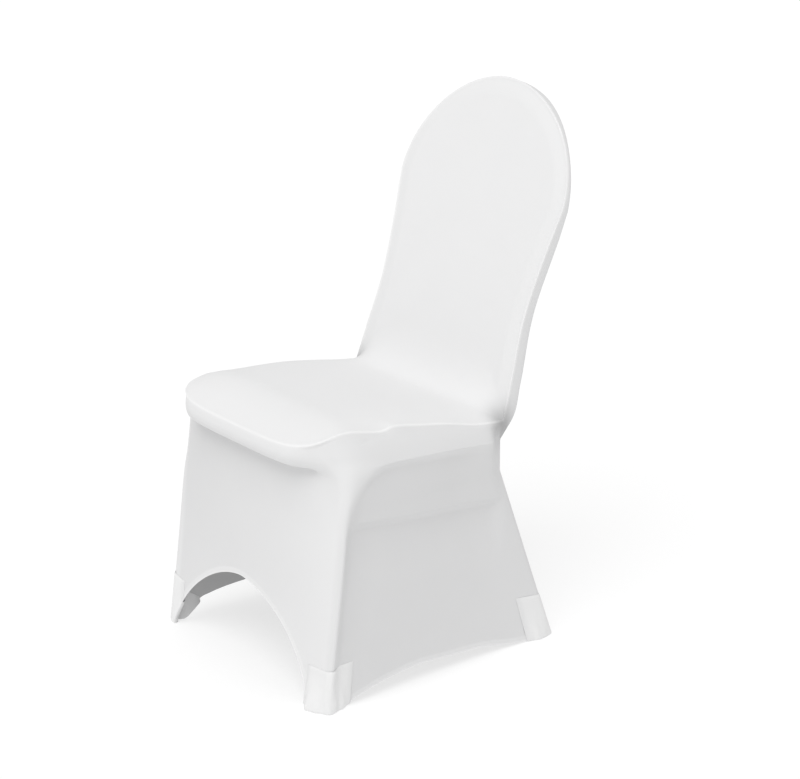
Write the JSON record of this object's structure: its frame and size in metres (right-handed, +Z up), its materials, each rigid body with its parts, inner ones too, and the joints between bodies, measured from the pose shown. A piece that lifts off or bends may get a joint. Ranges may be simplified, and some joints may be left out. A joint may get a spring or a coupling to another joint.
{
  "type": "chair cover",
  "caption": "Fitted stretch-knit chair cover with a rounded back, a boxed seat, a skirt with arched hems and foot pockets, hollow and open below.",
  "frame": {"origin": "on the ground, midway across the width and the depth", "axes": "+Z up, -Y towards the front of the seat, +X to the right as seen from the front"},
  "size_m": [0.4708, 0.6127, 0.9321],
  "materials": {
    "cloth": "matte stretch knit",
    "pocket_cloth": "matte doubled knit"
  },
  "bodies": {
    "root": {"centre_panel": "cloth", "rear_panel": "cloth", "side_panel_left": "cloth", "side_panel_right": "cloth", "pocket_front_left": "pocket_cloth", "pocket_front_right": "pocket_cloth", "pocket_rear_left": "pocket_cloth", "pocket_rear_right": "pocket_cloth"}
  },
  "joints": []
}
